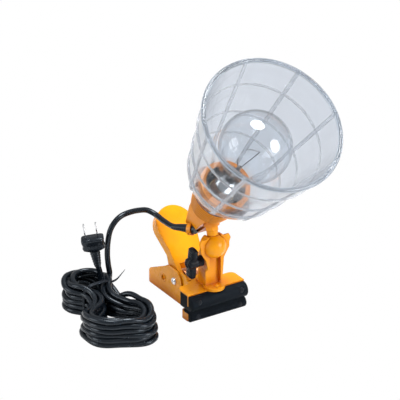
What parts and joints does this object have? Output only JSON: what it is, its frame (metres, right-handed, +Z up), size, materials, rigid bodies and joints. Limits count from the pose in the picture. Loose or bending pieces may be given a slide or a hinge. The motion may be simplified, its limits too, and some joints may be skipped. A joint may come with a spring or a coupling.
{
  "type": "clip-on work lamp",
  "caption": "Clip-on lamp: sprung steel clamp with rubber jaws, ball-jointed arm locked by a wing knob, screw lampholder and clear cup guard.",
  "frame": {"origin": "on the ground straight under the hinge pin, in the middle of the lower jaw plate", "axes": "+X across the clamp to the right as seen from the jaws, +Y back towards the handles, +Z up; the jaws face -Y"},
  "size_m": [0.222, 0.2726, 0.3051],
  "materials": {
    "paint": "gloss orange-yellow enamel on pressed steel",
    "jaw_rubber": "matte black moulded rubber",
    "rivet_black": "black",
    "bright_steel": "bright plated",
    "spring_steel": "copper-brown oiled spring wire",
    "knob_plastic": "black moulded, half gloss",
    "brass": "plain",
    "bakelite": "black moulded",
    "wire_insulation": "white insulation",
    "cord_rubber": "black flexible sheath, half matte",
    "guard_clear": "clear moulded, faint blue-grey tint",
    "bulb_glass": "clear blown glass",
    "cap_metal": "brass-toned rolled thread",
    "black_glass": "black glass insulator",
    "fine_wire": "dark wire",
    "tie_plastic": "black twist tie"
  },
  "bodies": {
    "lower": {"lower_jaw_plate": "paint", "lower_jaw_pad": "jaw_rubber", "lower_pad_rivets": "rivet_black", "hinge_pin": "bright_steel", "pin_clip": "bright_steel", "torsion_spring": "spring_steel", "cord_lead": "cord_rubber", "cord_hank": "cord_rubber", "cord_tail": "cord_rubber", "cord_tie": "tie_plastic", "plug_body": "cord_rubber", "plug_blades": "brass"},
    "upper": {"upper_jaw_plate": "paint", "upper_jaw_pad": "jaw_rubber", "upper_pad_rivets": "rivet_black", "arm_post": "paint", "clamp_plate": "paint", "post_rivets": "paint", "clamp_bolt": "bright_steel", "knob_washer": "bright_steel"},
    "knob": {"wing_knob": "knob_plastic", "knob_insert": "brass"},
    "ball": {"swivel_ball": "paint"},
    "head": {"ball_stem": "paint", "stem_nut": "paint", "housing_base": "paint", "socket_cover": "paint", "cover_screws": "bright_steel", "socket_body": "bakelite", "screw_shell": "brass", "centre_contact": "brass", "terminals": "brass", "lead_wires": "wire_insulation", "cord_bush": "cord_rubber", "guard": "guard_clear", "guard_screws": "bright_steel", "bulb_glass": "bulb_glass", "bulb_cap": "cap_metal", "bulb_insulator": "black_glass", "bulb_contact": "cap_metal", "bulb_mount": "bulb_glass", "bulb_leads": "fine_wire", "bulb_filament": "fine_wire"}
  },
  "joints": [
    {"name": "jaw_open", "type": "hinge", "parent": "lower", "child": "upper", "pos_m": [0, 0, 0.0227], "axis": [-1, 0, 0], "range_deg": [0, 35], "stiffness_Nm_per_rad": 1.6, "springref_deg": -28.65, "deforming": ["torsion_spring", "cord_lead"]},
    {"name": "ball_tilt", "type": "hinge", "parent": "upper", "child": "ball", "pos_m": [0, -0.0449, 0.0778], "axis": [1, 0, 0], "range_deg": [-30, 35], "deforming": ["cord_lead"]},
    {"name": "head_swivel", "type": "hinge", "parent": "ball", "child": "head", "pos_m": [0, -0.0449, 0.0778], "axis": [0, 0.2079, 0.9781], "range_deg": [-90, 90], "deforming": ["cord_lead"]},
    {"name": "knob_turn", "type": "hinge", "parent": "upper", "child": "knob", "pos_m": [0, -0.0371, 0.0602], "axis": [-1, 0, 0], "continuous": true}
  ]
}
